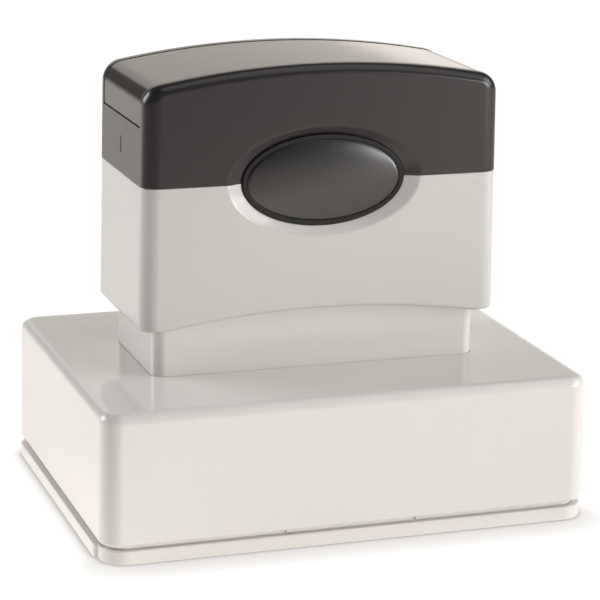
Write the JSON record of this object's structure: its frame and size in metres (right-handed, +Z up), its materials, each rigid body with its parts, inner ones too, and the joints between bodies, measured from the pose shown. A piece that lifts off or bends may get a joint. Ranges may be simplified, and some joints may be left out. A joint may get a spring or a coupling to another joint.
{
  "type": "pre-inked stamp",
  "caption": "Pre-inked stamp with a sprung handle on a neck, a box-shaped base around the inked die, and a clip-on dust cover.",
  "frame": {"origin": "middle of the dust cover's resting face, under the middle of the base", "axes": "+X along the width, to the right as the badge is faced, +Y from the badge side to the back, +Z up"},
  "size_m": [0.1008, 0.0752, 0.0912],
  "materials": {
    "white_plastic": "warm off-white gloss",
    "black_plastic": "satin black",
    "smoke_plastic": "dark smoke gloss",
    "badge_gloss": "black high gloss",
    "inner_plastic": "matt grey-white",
    "carrier_plastic": "matt dark grey",
    "ink_foam": "ink-soaked foam",
    "die_rubber": "soft matt",
    "card": "blank matt card",
    "steel": "zinc plated"
  },
  "bodies": {
    "cover": {"dust_cover": "white_plastic"},
    "base": {"base_housing": "white_plastic", "neck_sleeve": "white_plastic", "neck_screws": "steel", "spring_left": "steel", "spring_right": "steel"},
    "handle": {"handle_skirt": "white_plastic", "handle_top": "black_plastic", "badge_bezel": "black_plastic", "badge_dome": "badge_gloss", "plunger": "inner_plastic", "handle_screws": "steel", "die_carrier": "carrier_plastic", "carrier_screws": "steel", "ink_pad": "ink_foam", "die_plate": "die_rubber", "die_frame": "carrier_plastic", "index_card": "card"},
    "index": {"index_cover": "smoke_plastic"}
  },
  "joints": [
    {"name": "cover_release", "type": "slide", "parent": "cover", "child": "base", "axis": [0, 0, 1], "range_m": [0, 0.03]},
    {"name": "handle_press", "type": "slide", "parent": "base", "child": "handle", "axis": [0, 0, -1], "range_m": [0, 0.006], "stiffness_N_per_m": 1500, "springref_m": -0.01, "deforming": ["spring_left", "spring_right"]},
    {"name": "index_cover_lift", "type": "slide", "parent": "handle", "child": "index", "axis": [0, 0, 1], "range_m": [0, 0.02]}
  ]
}
